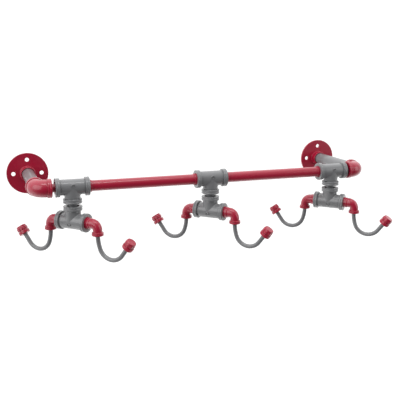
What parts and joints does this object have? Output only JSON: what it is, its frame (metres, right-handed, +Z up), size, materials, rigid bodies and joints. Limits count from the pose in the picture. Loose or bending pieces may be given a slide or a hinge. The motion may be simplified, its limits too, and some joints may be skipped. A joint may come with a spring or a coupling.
{
  "type": "wall hook rack",
  "caption": "Wall-mounted coat rack of painted pipe fittings: a rail on two flanged standoffs carries hanging tee heads that swivel, each with a pair of bent rod hooks.",
  "frame": {"origin": "on the wall, midway between the centres of the two wall flanges and level with the rail", "axes": "+X along the rail, towards the right as seen from the room; +Y into the wall; +Z up"},
  "size_m": [0.7872, 0.2815, 0.1826],
  "materials": {
    "red_enamel": "semi-gloss enamel",
    "grey_enamel": "semi-gloss enamel",
    "dark_steel": "blackened"
  },
  "bodies": {
    "root": {"left_wall_flange": "red_enamel", "left_standoff_pipe": "grey_enamel", "left_corner_elbow": "red_enamel", "left_corner_nipple": "red_enamel", "right_wall_flange": "red_enamel", "right_standoff_pipe": "grey_enamel", "right_corner_elbow": "red_enamel", "right_corner_nipple": "red_enamel", "left_rail_tee": "grey_enamel", "left_swivel_nipple": "grey_enamel", "middle_rail_tee": "grey_enamel", "middle_swivel_nipple": "grey_enamel", "right_rail_tee": "grey_enamel", "right_swivel_nipple": "grey_enamel", "left_rail_pipe": "red_enamel", "left_rail_left_bushing": "red_enamel", "left_rail_right_bushing": "red_enamel", "right_rail_pipe": "red_enamel", "right_rail_left_bushing": "red_enamel", "right_rail_right_bushing": "red_enamel"},
    "left_head": {"left_hook_tee": "grey_enamel", "left_front_hook_elbow": "red_enamel", "left_front_hook_bush": "dark_steel", "left_front_hook_rod": "grey_enamel", "left_front_hook_cap": "red_enamel", "left_rear_hook_elbow": "red_enamel", "left_rear_hook_bush": "dark_steel", "left_rear_hook_rod": "grey_enamel", "left_rear_hook_cap": "red_enamel"},
    "middle_head": {"middle_hook_tee": "grey_enamel", "middle_front_hook_elbow": "red_enamel", "middle_front_hook_bush": "dark_steel", "middle_front_hook_rod": "grey_enamel", "middle_front_hook_cap": "red_enamel", "middle_rear_hook_elbow": "red_enamel", "middle_rear_hook_bush": "dark_steel", "middle_rear_hook_rod": "grey_enamel", "middle_rear_hook_cap": "red_enamel"},
    "right_head": {"right_hook_tee": "grey_enamel", "right_front_hook_elbow": "red_enamel", "right_front_hook_bush": "dark_steel", "right_front_hook_rod": "grey_enamel", "right_front_hook_cap": "red_enamel", "right_rear_hook_elbow": "red_enamel", "right_rear_hook_bush": "dark_steel", "right_rear_hook_rod": "grey_enamel", "right_rear_hook_cap": "red_enamel"}
  },
  "joints": [
    {"name": "left_swivel", "type": "hinge", "parent": "root", "child": "left_head", "pos_m": [-0.2835, -0.18, -0.034], "axis": [0, 0, 1], "range_deg": [-135, 45]},
    {"name": "middle_swivel", "type": "hinge", "parent": "root", "child": "middle_head", "pos_m": [0, -0.18, -0.034], "axis": [0, 0, 1], "range_deg": [-135, 45]},
    {"name": "right_swivel", "type": "hinge", "parent": "root", "child": "right_head", "pos_m": [0.2835, -0.18, -0.034], "axis": [0, 0, 1], "range_deg": [-135, 45]}
  ]
}
